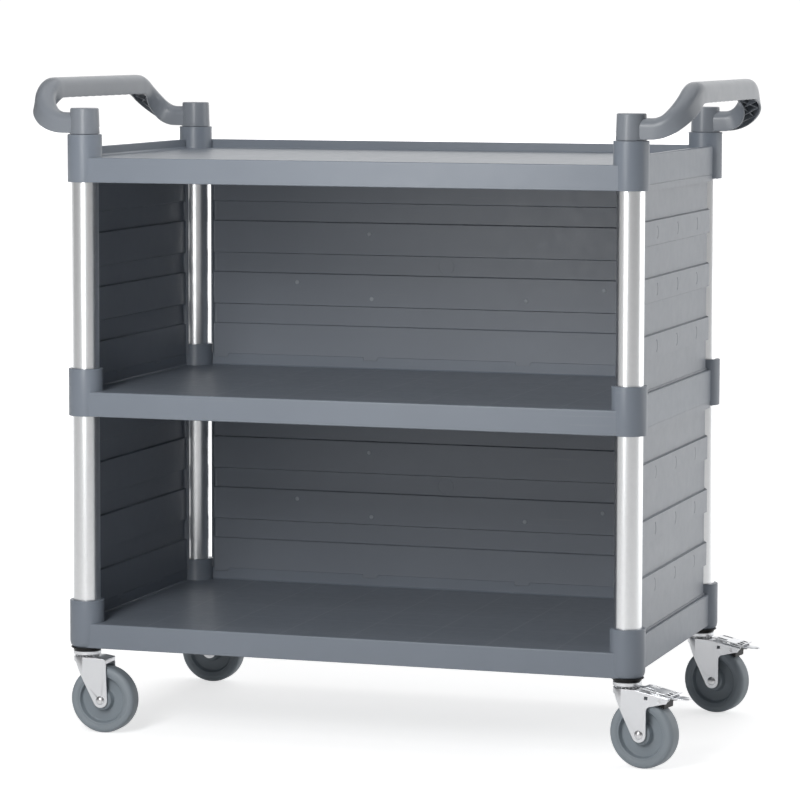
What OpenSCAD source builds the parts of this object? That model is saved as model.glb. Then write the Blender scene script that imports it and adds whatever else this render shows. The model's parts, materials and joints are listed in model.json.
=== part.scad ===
// Food service trolley: three moulded shelves with corner collars on tube posts, banded
// panels round the back and both ends, a push handle at each end and four swivel castors.
// Millimetres. X runs along the trolley, the open front faces -Y, Z is up from the floor.

/* [Frame] */
// Distance between the post axes along the trolley
post_dx = 828; // [600:1:1100]
// Distance between the post axes from front to back
post_dy = 454; // [350:1:600]
// Height from one shelf to the next
level_pitch = 345; // [280:1:420]

/* [Posts] */
// Outer radius of the post tubes
post_r = 20; // [16:0.5:24]
// Wall of the post tubes
post_wall = 1.5; // [1:0.1:3]

/* [Shelves] */
// Height of a corner collar
collar_h = 70; // [60:1:90]
// Wall of a corner collar
collar_wall = 5.4; // [4:0.1:8]
// Height of the deck's top surface above the collar's lower end
deck_z = 36.5; // [30:0.5:44]
// Thickness of the deck
deck_t = 3.5; // [2.5:0.1:6]
// Height of the tray rim on the top shelf, above the collar's lower end
tray_rim_h = 50; // [46:0.5:56]
// Height of the rim that carries the panels on the lower shelves
panel_rim_h = 55; // [50:0.5:60]
// Wall of the skirts
skirt_wall = 2.8; // [2:0.1:5]
// Distance between the stiffening ribs under a deck
rib_pitch = 104.5; // [80:0.5:110]

/* [Panels] */
// Wall of the panels
panel_wall = 2.5; // [1.5:0.1:4]
// How far a raised band stands out from the panel
band_relief = 4; // [2:0.5:6]
// Height of a raised band
band_h = 37.5; // [30:0.5:42]
// Distance from one raised band to the next
band_pitch = 81.5; // [70:0.5:90]

/* [Handles] */
// Height of a handle's cap above its collar
cap_h = 38.5; // [34:0.5:50]
// Height of the grip's top above the collars
grip_rise = 82; // [60:1:110]
// Distance from the post axes to the outer face of the grip
grip_reach = 91.5; // [75:0.5:120]
// Width of the grip section
grip_w = 31; // [24:0.5:36]
// Height of the grip section
grip_h = 30; // [24:0.5:34]

/* [Castors] */
// Radius of the wheels
wheel_r = 50; // [40:0.5:62]
// Width of the wheels
wheel_w = 30; // [22:0.5:34]
// Distance the axle trails behind the swivel axis
trail = 28; // [20:0.5:36]
// Angle the right-hand castors have swivelled to
right_turn = -12; // [-20:1:20]
// Radius of the axle bolts
bolt_r = 4; // [3:0.5:5]

/* [Hidden] */
// Gap between parts that stay put, and gap where one part turns in another
fit = 0.1;
run = 0.06;

// Corners: name, side along X, side along Y
corners = [["fl", -1, -1], ["fr", 1, -1], ["rl", -1, 1], ["rr", 1, 1]];
levels = ["bottom", "middle", "top"];
bays = ["lower", "upper"];

NODES = concat(
  [for (l = levels) str(l, "_shelf")],
  [for (b = bays) for (c = corners) str(b, "_post_", c[0])],
  [for (b = bays) for (s = ["back", "left", "right"]) str(b, "_", s, "_panel")],
  ["left_handle", "right_handle", "castor_plugs", "castor_stems"],
  [for (c = corners) for (p = ["fork", "swivel_balls", "axle_bolt", "axle_nut", "axle_sleeve",
    "wheel_hub", "tyre"]) str(p, "_", c[0])],
  [for (c = corners) if (braked(c)) for (p = ["brake_pedal", "brake_cam", "pedal_pin"])
    str(p, "_", c[0])]
);
node = "all";

function braked(c) = c[1] > 0;
function turn(c) = braked(c) ? right_turn : 0;
function shown(name) = node == "all" || node == name;
function arc(cx, cy, r, a0, a1, n = 6) =
  [for (i = [0:n]) let (a = a0 + (a1 - a0) * i / n) [cx + r * cos(a), cy + r * sin(a)]];

hx = post_dx / 2;
hy = post_dy / 2;

// Castor heights, stacked from the floor up to the bottom shelf
crown_gap = 11;
plate_t = 2.5;
race_gap = 2.5;
race_t = 7;
plug_t = 5;
fork_top = 2 * wheel_r + crown_gap + plate_t;
race_z = fork_top + race_gap;
plug_z = race_z + race_t;
bottom_z = plug_z + plug_t;
function level_z(i) = bottom_z + i * level_pitch;
top_z = level_z(2) + collar_h;

// Collars and the sockets in them
socket_r = post_r + fit;
collar_r = socket_r + collar_wall;
web_t = 4;
socket_h = (collar_h - web_t) / 2;
foot_round = 4;
foot_rise = 9;

// Faces measured outwards from the lines through the post axes
front_face = collar_r - 4;
skirt_face = 16;
panel_in = 7.5;
panel_out = panel_in + panel_wall;
side_skirt_z = 7;
edge = 1.5;

// Underside ribs
rib_t = 2.2;
rib_drop = 20;

// Groove in a rim, and the tongue and tabs of a panel that drop into it
tongue_in = panel_in + 1.5;
tongue_t = 2;
tongue_drop = 6;
groove_gap = 0.2;
tab_w = 22;
tab_drop = 5.5;
tab_slant = 3;
seam = 0.4;

// Panels
panel_h = level_pitch + side_skirt_z - panel_rim_h;
end_gap = 24;
first_band = 45;
band_slope = 1.5;
corner_r = 5;
return_d = 4;
strip_h = 10;
strip_face = skirt_face - 0.4;
top_hook = 8;
bands = 3;
mark_pitch = 122;
mark_h = 18;
mark_w = 1.2;
mark_d = 0.6;
ring_r = 12.5;

module at_corners(list = corners)
  for (c = list) translate([c[1] * hx, c[2] * hy, 0]) children();

// Shelves ---------------------------------------------------------------------------

// Section of a rim and its skirt, x outwards from the post line and y up
module rim_section(rim_h) {
  polygon([
    [panel_in - 4, deck_z - deck_t], [skirt_face - skirt_wall, deck_z - deck_t],
    [skirt_face - skirt_wall, side_skirt_z], [skirt_face, side_skirt_z],
    [skirt_face, rim_h - edge], [skirt_face - edge, rim_h], [panel_in + edge / 2, rim_h],
    [panel_in, rim_h - edge / 2], [panel_in, deck_z + 2], [panel_in - 2, deck_z],
    [panel_in - 4, deck_z]
  ]);
}

// Section of the open front edge, x outwards and y up
module front_section() {
  polygon(concat(
    [[front_face - 8, deck_z - deck_t], [front_face - skirt_wall, deck_z - deck_t],
      [front_face - skirt_wall, 0], [front_face - 0.8, 0], [front_face, 0.8]],
    arc(front_face - 2, deck_z - 2, 2, 0, 90, 4),
    [[front_face - 8, deck_z]]
  ));
}

// Runs a section along a side: 0 is the right-hand end, 1 the back, 2 the left, 3 the front
module along(side) {
  span = side % 2 == 0 ? post_dy : post_dx;
  rotate([0, 0, 90 * side]) translate([side % 2 == 0 ? hx : hy, span / 2, 0])
    rotate([90, 0, 0]) linear_extrude(span) children();
}

// Notches for the panel tabs in the inner face of a rim
module tab_outline(grow) {
  polygon([[-tab_w / 2 - tab_slant - grow, 0.01], [-tab_w / 2 - grow, -tab_drop - grow],
    [tab_w / 2 + grow, -tab_drop - grow], [tab_w / 2 + grow, 0.01]]);
}

function tab_places(side) = side == 1 ? [-1.5, -0.5, 0.5, 1.5] * (post_dx * 0.302)
  : [-0.5, 0.5] * (post_dy * 0.35);

module panel_seat(side, rim_h) {
  depth = tongue_in - panel_in + 0.01;
  rotate([0, 0, 90 * side]) translate([side == 1 ? hy : hx, 0, rim_h]) {
    half = (side == 1 ? hx : hy) - end_gap;
    translate([tongue_in - groove_gap, -half, -tongue_drop - 1])
      cube([tongue_t + 2 * groove_gap, 2 * half, tongue_drop + 2]);
    for (t = tab_places(side)) translate([panel_in - 0.01, t, 0])
      rotate([90, 0, 90]) linear_extrude(depth) tab_outline(seam / 2);
  }
}

module collar(rounded) {
  rotate_extrude($fn = 96) polygon(concat(
    rounded ? [[0, 0], [collar_r - foot_round, 0], [collar_r - 0.3 * foot_round, foot_rise * 0.4]]
      : [[0, 0], [collar_r - 0.5, 0]],
    [[collar_r, rounded ? foot_rise : 0.5], [collar_r, collar_h - 0.5],
      [collar_r - 0.5, collar_h], [0, collar_h]]
  ));
}

module shelf(level) {
  rim_h = level == 2 ? tray_rim_h : panel_rim_h;
  ribs_x = floor((hx - collar_r) / rib_pitch);
  ribs_y = floor((hy - collar_r) / rib_pitch);
  color([0.50, 0.53, 0.57]) translate([0, 0, level_z(level)]) difference() {
    union() {
      translate([-hx - 4, -hy, deck_z - deck_t]) cube([post_dx + 8, post_dy, deck_t]);
      translate([-hx, -hy - front_face + 4, deck_z - deck_t])
        cube([post_dx, post_dy + front_face, deck_t]);
      for (side = [0:2]) along(side) rim_section(rim_h);
      along(3) front_section();
      for (i = [-ribs_x:ribs_x])
        translate([i * rib_pitch - rib_t / 2, -hy - front_face + 1, deck_z - deck_t - rib_drop])
          cube([rib_t, post_dy + front_face, rib_drop + 1]);
      for (i = [-ribs_y:ribs_y])
        translate([-hx, i * rib_pitch - rib_t / 2, deck_z - deck_t - rib_drop])
          cube([post_dx, rib_t, rib_drop + 1]);
      at_corners() collar(level == 0);
    }
    at_corners() {
      translate([0, 0, -1]) cylinder(r = socket_r, h = socket_h + 1, $fn = 96);
      translate([0, 0, collar_h - socket_h]) cylinder(r = socket_r, h = socket_h + 1, $fn = 96);
    }
    if (level < 2) for (side = [0:2]) panel_seat(side, rim_h);
  }
}

// Posts -----------------------------------------------------------------------------

module post(bay, c) {
  z0 = level_z(bay) + collar_h - socket_h;
  z1 = level_z(bay + 1) + socket_h;
  color([0.84, 0.85, 0.86]) translate([c[1] * hx, c[2] * hy, z0]) difference() {
    cylinder(r = post_r, h = z1 - z0, $fn = 96);
    translate([0, 0, -1]) cylinder(r = post_r - post_wall, h = z1 - z0 + 2, $fn = 96);
  }
}

// Panels ----------------------------------------------------------------------------

// Slab of one panel layer with rounded ends, x outwards and y along the panel
module layer(x0, x1, half, r, h) {
  linear_extrude(h) intersection() {
    translate([x0, -half]) square([x1 - x0, 2 * half]);
    union() {
      translate([x0, -half]) square([x1 - x0 - r, 2 * half]);
      translate([x0, -half + r]) square([x1 - x0, 2 * (half - r)]);
      for (s = [-1, 1]) translate([x1 - r, s * (half - r)]) circle(r, $fn = 48);
    }
  }
}

// A block with sloped upper and lower edges that stands out to x1
module band_block(x0, x1, half, h) {
  slope = band_slope;
  intersection() {
    layer(x0, x1, half, corner_r - 1, h);
    translate([0, half + 1, 0]) rotate([90, 0, 0]) linear_extrude(2 * half + 2)
      polygon([[x0, 0], [x1 - band_relief, 0], [x1, slope], [x1, h - slope],
        [x1 - band_relief, h], [x0, h]]);
  }
}

// A shallow crescent groove in the face of a band
module crescent() {
  reach = mark_h * 0.56;
  rotate([0, 90, 0]) linear_extrude(2 * mark_d, center = true) intersection() {
    translate([0, -reach]) difference() {
      circle(reach + mark_w / 2, $fn = 96);
      circle(reach - mark_w / 2, $fn = 96);
    }
    square([mark_h, 2 * reach], center = true);
  }
}

module panel(side, bay) {
  half = (side == 1 ? hx : hy) - end_gap;
  band_out = panel_out + band_relief;
  marks = floor((half - 20) / mark_pitch);
  color([0.62, 0.64, 0.67]) difference() {
    rotate([0, 0, 90 * side])
      translate([side == 1 ? hy : hx, 0, level_z(bay) + panel_rim_h]) difference() {
        union() {
          // Sheet with its ends turned inwards
          difference() {
            layer(panel_in - return_d, panel_out, half, corner_r, panel_h + top_hook);
            translate([0, 0, -1])
              layer(panel_in - return_d - 1, panel_in, half - panel_wall, corner_r - panel_wall,
                panel_h + top_hook + 2);
          }
          for (i = [0:bands - 1]) translate([0, 0, first_band + i * band_pitch])
            band_block(panel_in, band_out, half, band_h);
          // Tongue and tabs
          translate([tongue_in, -half + 1, -tongue_drop])
            cube([tongue_t, 2 * half - 2, tongue_drop + 3]);
          for (t = tab_places(side)) translate([panel_in, t, 0])
            rotate([90, 0, 90]) linear_extrude(tongue_in - panel_in) tab_outline(-seam / 2);
          // Strip that closes against the skirt above
          translate([panel_in, -half - 3, panel_h - panel_wall - 0.3])
            cube([strip_face - panel_in, 2 * half + 6, panel_wall]);
          translate([strip_face - panel_wall, -half - 3, panel_h - strip_h - 0.3])
            cube([panel_wall, 2 * half + 6, strip_h]);
        }
        // Hollow behind each band
        for (i = [0:bands - 1])
          translate([0, 0, first_band + i * band_pitch + panel_wall])
            band_block(panel_in - 1, panel_in + band_relief, half - panel_wall,
              band_h - 2 * panel_wall);
        for (i = [0:bands - 1]) for (k = [-marks:marks])
          translate([band_out, k * mark_pitch, first_band + i * band_pitch + band_h / 2])
            crescent();
        if (side == 1)
          translate([panel_in + band_relief, 0, first_band + band_pitch + band_h / 2])
            rotate([0, 90, 0]) difference() {
              cylinder(r = ring_r + 0.5, h = 2 * mark_d, center = true, $fn = 64);
              cylinder(r = ring_r - 0.5, h = 2 * mark_d + 1, center = true, $fn = 64);
            }
      }
    // Room for the collars above and below
    for (i = [0, 1]) at_corners() translate([0, 0, level_z(bay + i) - 1])
      cylinder(r = collar_r + 0.6, h = collar_h + 2, $fn = 96);
  }
}

// Handles ---------------------------------------------------------------------------

cap_base_r = post_r + 2.3;
cap_top_r = post_r + 0.8;
arm_mid = cap_h - 6 - grip_h / 2 + 0.5;
grip_x = grip_reach - grip_w / 2;
grip_mid = grip_rise - grip_h / 2;
handle_wall = 3;

// Centre line of one half of a handle: x out from the post, y back from it, z above collars
arm_line = [
  [4, 0, arm_mid], [26, 0, arm_mid], [40, 1.5, arm_mid + 1.3], [53, 7, arm_mid + 8],
  [63, 14, arm_mid + 18.5], [70, 22.5, arm_mid + 31], [74.5, 33, arm_mid + 42],
  [grip_x, 45, grip_mid - 1.5], [grip_x, 60, grip_mid], [grip_x, 110, grip_mid]
];
arm_steps = 5;

// Catmull-Rom curve through a list of points
function spline_at(p, i, t) = let (
    a = p[max(i - 1, 0)], b = p[i], c = p[i + 1], d = p[min(i + 2, len(p) - 1)]
  ) 0.5 * (2 * b + (c - a) * t + (2 * a - 5 * b + 4 * c - d) * t * t
    + (3 * b - a - 3 * c + d) * t * t * t);
function spline(p, n) = concat(
  [for (i = [0:len(p) - 2]) for (k = [0:n - 1]) spline_at(p, i, k / n)], [p[len(p) - 1]]);
function unit(v) = v / norm(v);

// Inverted U of the handle, x across and y up, in even rings for the sweep
section_r = 9;
u_section = concat(
  [[-grip_w / 2, -grip_h / 2]],
  arc(-grip_w / 2 + section_r, grip_h / 2 - section_r, section_r, 180, 90, 4),
  arc(grip_w / 2 - section_r, grip_h / 2 - section_r, section_r, 90, 0, 4),
  [[grip_w / 2, -grip_h / 2], [grip_w / 2 - handle_wall, -grip_h / 2]],
  arc(grip_w / 2 - section_r, grip_h / 2 - section_r, section_r - handle_wall, 0, 90, 3),
  arc(-grip_w / 2 + section_r, grip_h / 2 - section_r, section_r - handle_wall, 90, 180, 3),
  [[-grip_w / 2 + handle_wall, -grip_h / 2]]
);

module sweep(path, section) {
  n = len(path);
  m = len(section);
  rings = [for (i = [0:n - 1]) let (
      t = unit(path[min(i + 1, n - 1)] - path[max(i - 1, 0)]),
      s = unit(cross(t, [0, 0, 1])),
      u = cross(s, t)
    ) for (q = section) path[i] + q[0] * s + q[1] * u];
  polyhedron(
    points = rings,
    faces = concat(
      [for (i = [0:n - 2]) for (k = [0:m - 1]) let (k2 = (k + 1) % m)
        [i * m + k, (i + 1) * m + k, (i + 1) * m + k2, i * m + k2]],
      [[for (k = [0:m - 1]) k], [for (k = [m - 1:-1:0]) (n - 1) * m + k]]
    ),
    convexity = 6
  );
}

module handle_cap() {
  rotate_extrude($fn = 96) polygon(concat(
    [[0, -socket_h + 1], [post_r - 2, -socket_h + 1], [post_r - 0.5, -socket_h + 5],
      [post_r, 0], [cap_base_r, 0]],
    arc(cap_top_r - 1.5, cap_h - 1.5, 1.5, 0, 90, 3),
    [[0, cap_h]]
  ));
}

// The right-hand handle; the left-hand one is its mirror image
module handle() {
  half_line = spline(arm_line, arm_steps);
  n = len(half_line);
  path = concat(
    [for (p = half_line) [hx + p[0], -hy + p[1], p[2]]],
    [for (i = [n - 1:-1:0]) [hx + half_line[i][0], hy - half_line[i][1], half_line[i][2]]]
  );
  color([0.66, 0.67, 0.69]) translate([0, 0, top_z]) {
    difference() {
      union() {
        sweep(path, u_section);
        for (s = [-1, 1]) translate([hx, s * hy, 0]) handle_cap();
      }
      // The caps are hollow from below
      for (s = [-1, 1]) translate([hx, s * hy, -socket_h])
        cylinder(r = post_r - 3, h = socket_h + cap_h - 4, $fn = 64);
    }
  }
}

// Castors ---------------------------------------------------------------------------
// Castor parts are drawn with the swivel axis on Z and the wheel trailing towards +X

fork_r = 20;
leg_t = 2.5;
leg_in = fork_r - leg_t;
leg_end_r = 11;
leg_front = trail + leg_end_r;
plate_x = 22;
arm_x = trail + 46;
king_r = 5;
king_head_r = 8;
king_head_t = 3;
stem_r = 5.9;
stem_top = bottom_z + socket_h - 2;
race_r = 20.5;
plug_flange_r = collar_r - 1.5;
plug_flange_t = 2.2;
pivot = [trail + 32, 2 * wheel_r + 1];
pivot_r = 2;
hole_w = 5.5;
hole_h = 4.5;

module castor(c) translate([c[1] * hx, c[2] * hy, 0]) rotate([0, 0, turn(c)]) children();

// Outline of the fork seen from the side, x along the trail and y up
module fork_side(brake) {
  crown = fork_top;
  polygon(concat(
    [[-fork_r - 1, crown], [plate_x, crown]],
    brake ? [[arm_x - 1, crown - 8.5], [arm_x, crown - 10], [arm_x - 4, crown - 16],
        [arm_x - 8, crown - 16.5], [leg_front + 8, crown - 21.5]]
      : [[leg_front - 3, crown - 2.2], [leg_front - 2.4, crown - 4]],
    brake ? arc(leg_front + 8, crown - 29.5, 8, 90, 180, 4) : [],
    arc(trail, wheel_r, leg_end_r, 0, -150, 12),
    [[trail - 31, wheel_r + 36], [-fork_r * 0.6, crown - 9], [-fork_r - 1, crown - 6]]
  ));
}

module fork_plan(r, x1) {
  circle(r, $fn = 96);
  translate([0, -r]) square([x1, 2 * r]);
}

module fork(c) {
  brake = braked(c);
  open_x = arm_x + 5;
  color([0.86, 0.87, 0.88]) castor(c) difference() {
    intersection() {
      linear_extrude(fork_top) fork_plan(fork_r, arm_x + 1);
      rotate([90, 0, 0]) linear_extrude(4 * fork_r, center = true) fork_side(brake);
    }
    // Hollow between the legs, lower behind the swivel where the crown slopes
    linear_extrude(fork_top - plate_t) fork_plan(leg_in, brake ? plate_x : plate_x - 2);
    translate([0, -leg_in, 0])
      cube([open_x, 2 * leg_in, fork_top - plate_t - (brake ? 0 : 6)]);
    translate([0, -leg_in, 0]) cube([leg_front - 6, 2 * leg_in, fork_top - plate_t - 2]);
    if (brake) translate([plate_x + 5, -leg_in, 0]) cube([open_x, 2 * leg_in, fork_top + 1]);
    translate([0, 0, fork_top - plate_t - 1])
      cylinder(r = king_r + run, h = plate_t + 2, $fn = 64);
    translate([trail, 0, wheel_r]) rotate([90, 0, 0])
      cylinder(r = bolt_r + fit / 2, h = 3 * fork_r, center = true, $fn = 64);
    if (brake) {
      translate([pivot[0], 0, pivot[1]]) rotate([90, 0, 0])
        cylinder(r = pivot_r + run / 2, h = 3 * fork_r, center = true, $fn = 48);
      translate([trail + 11 - hole_w / 2, -2 * fork_r, pivot[1] + 2.5 - hole_h / 2])
        cube([hole_w, 4 * fork_r, hole_h]);
    }
  }
}

module swivel_balls(c) {
  count = 20;
  r = race_gap / 2 - 0.05;
  color([0.75, 0.75, 0.76]) castor(c) for (i = [0:count - 1])
    rotate([0, 0, i * 360 / count]) translate([race_r - 4, 0, fork_top + race_gap / 2])
      sphere(r, $fn = 24);
}

module axle_bolt(c) {
  head_r = bolt_r * 1.6;
  color([0.80, 0.80, 0.81]) castor(c) translate([trail, 0, wheel_r]) rotate([-90, 0, 0]) {
    translate([0, 0, -fork_r - 3.5]) rotate_extrude($fn = 64)
      polygon(concat([[0, 0]], arc(head_r - 2, 2, 2, -90, 0, 4), [[head_r, 3.5], [0, 3.5]]));
    translate([0, 0, -fork_r]) cylinder(r = bolt_r, h = 2 * fork_r + 8.5, $fn = 64);
  }
}

module axle_nut(c) {
  color([0.78, 0.78, 0.80]) castor(c) translate([trail, fork_r, wheel_r]) rotate([-90, 0, 0])
    difference() {
      cylinder(r = bolt_r * 1.85, h = 6.5, $fn = 6);
      translate([0, 0, -1]) cylinder(r = bolt_r + fit / 2, h = 9, $fn = 64);
    }
}

sleeve_r = bolt_r + 2;

module axle_sleeve(c) {
  color([0.70, 0.70, 0.72]) castor(c) translate([trail, 0, wheel_r]) rotate([90, 0, 0])
    difference() {
      cylinder(r = sleeve_r, h = 2 * leg_in - fit, center = true, $fn = 64);
      cylinder(r = bolt_r + fit / 2, h = 3 * leg_in, center = true, $fn = 64);
    }
}

tyre_in = wheel_r * 0.76;
bond = 0.02;
boss_r = 15;
web_w = wheel_w * 0.45;

module wheel_hub(c) {
  w = wheel_w / 2;
  color([0.52, 0.54, 0.56]) castor(c) translate([trail, 0, wheel_r]) rotate([90, 0, 0])
    rotate_extrude($fn = 128) polygon([
      [sleeve_r + run, -w - 1], [boss_r - 1, -w - 1], [boss_r, -w], [boss_r + 1, -web_w / 2],
      [tyre_in - 5, -web_w / 2], [tyre_in - 3.5, -w + 1], [tyre_in, -w + 1],
      [tyre_in, w - 1], [tyre_in - 3.5, w - 1], [tyre_in - 5, web_w / 2],
      [boss_r + 1, web_w / 2], [boss_r, w], [boss_r - 1, w + 1], [sleeve_r + run, w + 1]
    ]);
}

module tyre(c) {
  w = wheel_w / 2;
  shoulder = 6;
  color([0.50, 0.52, 0.54]) castor(c) translate([trail, 0, wheel_r]) rotate([90, 0, 0])
    rotate_extrude($fn = 128) polygon(concat(
      [[tyre_in + bond, -w + 0.6]],
      arc(wheel_r - shoulder, -w + shoulder, shoulder, -90, 0, 8),
      arc(wheel_r - shoulder, w - shoulder, shoulder, 0, 90, 8),
      [[tyre_in + bond, w - 0.6]]
    ));
}

module castor_stem() {
  king_z = fork_top - plate_t - fit;
  rotate_extrude($fn = 64) polygon([
    [0, king_z - king_head_t], [king_head_r - 1, king_z - king_head_t],
    [king_head_r, king_z - 1], [king_head_r, king_z], [king_r, king_z], [king_r, race_z],
    [race_r - 1, race_z], [race_r, race_z + 1], [race_r, plug_z - 1.5], [race_r - 1.5, plug_z],
    [stem_r, plug_z], [stem_r, stem_top - 1], [stem_r - 1, stem_top], [0, stem_top]
  ]);
}

module castor_plug() {
  rotate_extrude($fn = 96) polygon([
    [stem_r + fit, plug_z], [post_r + 0.5, plug_z], [post_r + 0.8, bottom_z - plug_flange_t],
    [plug_flange_r, bottom_z - plug_flange_t + 0.6], [plug_flange_r, bottom_z],
    [post_r, bottom_z], [post_r, bottom_z + socket_h - 4], [post_r - 2, bottom_z + socket_h - 1],
    [stem_r + fit, bottom_z + socket_h - 1]
  ]);
}

// Brakes ----------------------------------------------------------------------------

pedal_half = leg_in - 0.8;
pedal_t = 1.6;
tab_half = 11;
tab_tip = trail + 75;

// Side view of the pedal's top plate, from above the swivel out to its folded end
module pedal_plate() {
  z0 = fork_top + 2;
  polygon([[trail + 4, z0], [trail + 4, z0 + pedal_t], [trail + 55, z0 - 8 + pedal_t],
    [trail + 59, z0 - 5.5 + pedal_t], [trail + 60, z0 - 6.5 + pedal_t], [trail + 55, z0 - 8]]);
}

module pedal_cheek() {
  z0 = fork_top + 2;
  polygon([[trail + 18, z0 - 2], [trail + 55, z0 - 8], [trail + 53, z0 - 13],
    [pivot[0] + 7, pivot[1] - 3], [pivot[0] + 2, pivot[1] - 5], [pivot[0] - 4, pivot[1] - 5]]);
}

module brake_pedal(c) {
  tab_z = pivot[1] + 2.5;
  color([0.88, 0.88, 0.88]) castor(c) difference() {
    union() {
      rotate([90, 0, 0]) linear_extrude(2 * pedal_half, center = true) pedal_plate();
      for (s = [-1, 1]) translate([0, s * (pedal_half - pedal_t / 2), 0]) rotate([90, 0, 0])
        linear_extrude(pedal_t, center = true) pedal_cheek();
      translate([trail + 40, 0, tab_z]) linear_extrude(pedal_t) union() {
        translate([0, -pedal_half]) square([12, 2 * pedal_half]);
        translate([0, -tab_half]) square([tab_tip - trail - 40 - tab_half, 2 * tab_half]);
        translate([tab_tip - trail - 40 - tab_half, 0]) circle(tab_half, $fn = 48);
      }
    }
    translate([pivot[0], 0, pivot[1]]) rotate([90, 0, 0])
      cylinder(r = pivot_r + run / 2, h = 3 * fork_r, center = true, $fn = 48);
    // Pierced slots in the plate
    for (x = [trail + 30, trail + 46]) translate([x, -6, fork_top - 12]) cube([4, 12, 16]);
  }
}

module brake_cam(c) {
  half = pedal_half - pedal_t - 0.4;
  color([0.10, 0.10, 0.11]) castor(c) rotate([90, 0, 0]) difference() {
    linear_extrude(2 * half, center = true) union() {
      translate(pivot) circle(6, $fn = 64);
      polygon([pivot + [-5.9, -1], pivot + [-3.2, -6.6], pivot + [4.2, -11.8],
        pivot + [5.6, -10.8], pivot + [5.9, 1]]);
    }
    translate([pivot[0], pivot[1], 0])
      cylinder(r = pivot_r + run / 2, h = 3 * half, center = true, $fn = 48);
  }
}

module pedal_pin(c) {
  color([0.35, 0.35, 0.36]) castor(c) translate([pivot[0], 0, pivot[1]]) rotate([90, 0, 0])
    cylinder(r = pivot_r, h = 2 * fork_r - 0.4, center = true, $fn = 48);
}

// Drawing ---------------------------------------------------------------------------

for (i = [0:2]) if (shown(str(levels[i], "_shelf"))) shelf(i);
for (b = [0, 1]) for (c = corners) if (shown(str(bays[b], "_post_", c[0]))) post(b, c);
for (b = [0, 1]) if (shown(str(bays[b], "_right_panel"))) panel(0, b);
for (b = [0, 1]) if (shown(str(bays[b], "_back_panel"))) panel(1, b);
for (b = [0, 1]) if (shown(str(bays[b], "_left_panel"))) panel(2, b);
if (shown("right_handle")) handle();
if (shown("left_handle")) mirror([1, 0, 0]) handle();
if (shown("castor_plugs")) color([0.09, 0.09, 0.10]) at_corners() castor_plug();
if (shown("castor_stems")) color([0.85, 0.86, 0.87]) at_corners() castor_stem();
for (c = corners) if (shown(str("fork_", c[0]))) fork(c);
for (c = corners) if (shown(str("swivel_balls_", c[0]))) swivel_balls(c);
for (c = corners) if (shown(str("axle_bolt_", c[0]))) axle_bolt(c);
for (c = corners) if (shown(str("axle_nut_", c[0]))) axle_nut(c);
for (c = corners) if (shown(str("axle_sleeve_", c[0]))) axle_sleeve(c);
for (c = corners) if (shown(str("wheel_hub_", c[0]))) wheel_hub(c);
for (c = corners) if (shown(str("tyre_", c[0]))) tyre(c);
for (c = corners) if (braked(c) && shown(str("brake_pedal_", c[0]))) brake_pedal(c);
for (c = corners) if (braked(c) && shown(str("brake_cam_", c[0]))) brake_cam(c);
for (c = corners) if (braked(c) && shown(str("pedal_pin_", c[0]))) pedal_pin(c);
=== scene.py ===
"""The food service trolley's finish, its detailed mouldings and castors, and a pale studio."""

import json
import math

import bmesh
import bpy
from mathutils import Matrix, Vector


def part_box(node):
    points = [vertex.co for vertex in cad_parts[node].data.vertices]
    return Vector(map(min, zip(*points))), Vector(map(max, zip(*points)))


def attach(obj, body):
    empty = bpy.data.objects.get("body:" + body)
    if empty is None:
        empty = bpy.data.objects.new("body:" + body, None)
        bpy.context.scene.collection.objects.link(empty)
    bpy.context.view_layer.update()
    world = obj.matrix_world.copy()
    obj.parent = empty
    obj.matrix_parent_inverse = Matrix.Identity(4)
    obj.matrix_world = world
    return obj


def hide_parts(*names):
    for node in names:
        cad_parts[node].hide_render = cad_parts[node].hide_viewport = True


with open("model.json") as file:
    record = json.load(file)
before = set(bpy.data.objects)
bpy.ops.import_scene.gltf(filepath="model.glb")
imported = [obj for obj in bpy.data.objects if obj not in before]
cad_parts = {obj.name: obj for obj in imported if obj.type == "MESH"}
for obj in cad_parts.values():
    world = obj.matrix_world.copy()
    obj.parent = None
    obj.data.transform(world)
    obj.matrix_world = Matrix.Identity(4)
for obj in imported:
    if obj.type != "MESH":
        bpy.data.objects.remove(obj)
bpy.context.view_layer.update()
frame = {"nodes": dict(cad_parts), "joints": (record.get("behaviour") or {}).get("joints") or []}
nodes = frame["nodes"]

MM = 0.001
MERGE = 1e-6
BAYS = ("lower", "upper")
CORNERS = ("fl", "fr", "rl", "rr")


# Node groups ------------------------------------------------------------------------


def new_group(name, inputs, outputs):
    """A shader node group with named sockets: (group tree, its input node, its output node)."""
    tree = bpy.data.node_groups.new(name, "ShaderNodeTree")
    for label, kind, value in inputs:
        socket = tree.interface.new_socket(label, in_out="INPUT", socket_type=kind)
        socket.default_value = value
    for label, kind in outputs:
        tree.interface.new_socket(label, in_out="OUTPUT", socket_type=kind)
    return tree, tree.nodes.new("NodeGroupInput"), tree.nodes.new("NodeGroupOutput")


def add(tree, kind, settings=None, **sockets):
    """A node with its settings and its input sockets filled or linked, given by name."""
    node = tree.nodes.new(kind)
    for key, value in (settings or {}).items():
        setattr(node, key, value)
    for key, value in sockets.items():
        socket = node.inputs[int(key[1:])] if key[0] == "_" else node.inputs[key.replace("_", " ")]
        if isinstance(value, bpy.types.NodeSocket):
            tree.links.new(value, socket)
        else:
            socket.default_value = value
    return node


def maths(tree, operation, a, b=0.0, clamp=False):
    """The output of a Math node."""
    node = add(tree, "ShaderNodeMath", {"operation": operation, "use_clamp": clamp}, _0=a, _1=b)
    return node.outputs[0]


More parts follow.
